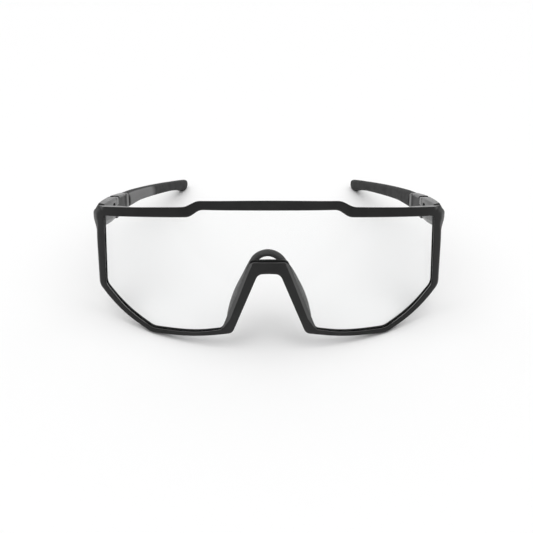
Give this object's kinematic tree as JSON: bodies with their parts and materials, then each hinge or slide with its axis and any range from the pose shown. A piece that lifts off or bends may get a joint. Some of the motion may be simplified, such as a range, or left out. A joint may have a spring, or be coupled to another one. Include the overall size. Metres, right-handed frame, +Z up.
{
  "type": "wraparound sport sunglasses",
  "caption": "Full-rim wraparound sport sunglasses with a one-piece clear shield lens, a rubber nose piece and two folding temples with soft sleeves.",
  "frame": {"origin": "on the table under the middle of the bounding box, with the glasses open and resting on the lower corners of the rim and the tips of the temples", "axes": "+X to the viewer's right as the glasses are seen from the front, +Y from the lens back to the temple tips, +Z up from the table"},
  "size_m": [0.1492, 0.1692, 0.0575],
  "materials": {
    "frame_plastic": "matte black moulded nylon with a fine texture",
    "arm_plastic": "matte black moulded nylon with a fine texture",
    "sleeve_rubber": "soft matte black rubber",
    "nose_rubber": "soft matte black rubber",
    "clip_plastic": "satin black moulded nylon",
    "lens": "clear hard-coated polycarbonate",
    "core_wire": "bare soft aluminium wire",
    "screw_steel": "satin stainless steel",
    "hinge_brass": "plain turned brass",
    "washer_nylon": "black nylon"
  },
  "bodies": {
    "front": {"front_frame": "frame_plastic", "shield_lens": "lens", "nose_clip": "clip_plastic", "nose_pad": "nose_rubber", "left_nose_core": "core_wire", "right_nose_core": "core_wire", "left_hinge_screw": "screw_steel", "left_hinge_insert": "hinge_brass", "left_washer_lower": "washer_nylon", "left_washer_upper": "washer_nylon", "right_hinge_screw": "screw_steel", "right_hinge_insert": "hinge_brass", "right_washer_lower": "washer_nylon", "right_washer_upper": "washer_nylon"},
    "left_temple": {"left_temple_arm": "arm_plastic", "left_temple_sleeve": "sleeve_rubber", "left_hinge_bush": "hinge_brass"},
    "right_temple": {"right_temple_arm": "arm_plastic", "right_temple_sleeve": "sleeve_rubber", "right_hinge_bush": "hinge_brass"}
  },
  "joints": [
    {"name": "left_temple_fold", "type": "hinge", "parent": "front", "child": "left_temple", "pos_m": [-0.0689, -0.02483, 0.03352], "axis": [0, 0.2588, 0.9659], "range_deg": [-86, 0]},
    {"name": "right_temple_fold", "type": "hinge", "parent": "front", "child": "right_temple", "pos_m": [0.0689, -0.02483, 0.03352], "axis": [0, 0.2588, 0.9659], "range_deg": [0, 75]}
  ]
}
